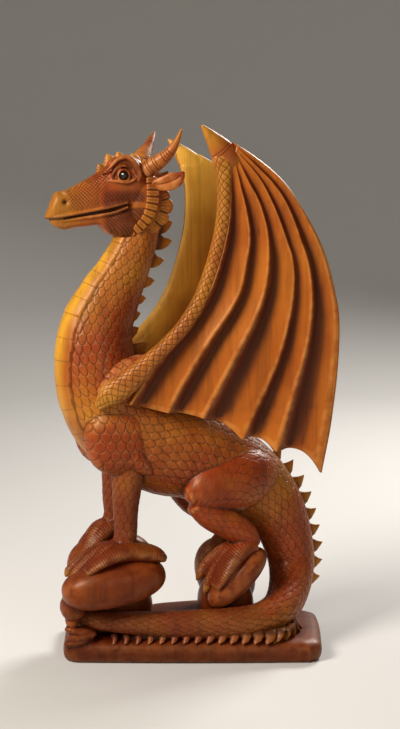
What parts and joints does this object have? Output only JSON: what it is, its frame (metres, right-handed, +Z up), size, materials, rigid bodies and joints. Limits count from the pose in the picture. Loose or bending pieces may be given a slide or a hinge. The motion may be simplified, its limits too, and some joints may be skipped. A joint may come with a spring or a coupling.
{
  "type": "wooden dragon carving",
  "caption": "Carved wooden dragon with raised ribbed wings, arched neck and curled spiny tail, seated on boulders on a slab base.",
  "frame": {"origin": "centre of the slab's underside, on the surface the carving stands on", "axes": "+Z up to the wing tips, -X towards the dragon's snout along the slab, -Y towards the viewer, who sees the dragon's left side; the dragon itself is turned 15 degrees on the slab, snout towards -Y"},
  "size_m": [0.2743, 0.1761, 0.5017],
  "materials": {
    "wood": "reddish brown hardwood under semi-gloss lacquer, paler where it is worn",
    "eye": "glossy black bead"
  },
  "bodies": {
    "root": {"dragon": "wood", "left_eye": "eye", "right_eye": "eye"}
  },
  "joints": []
}
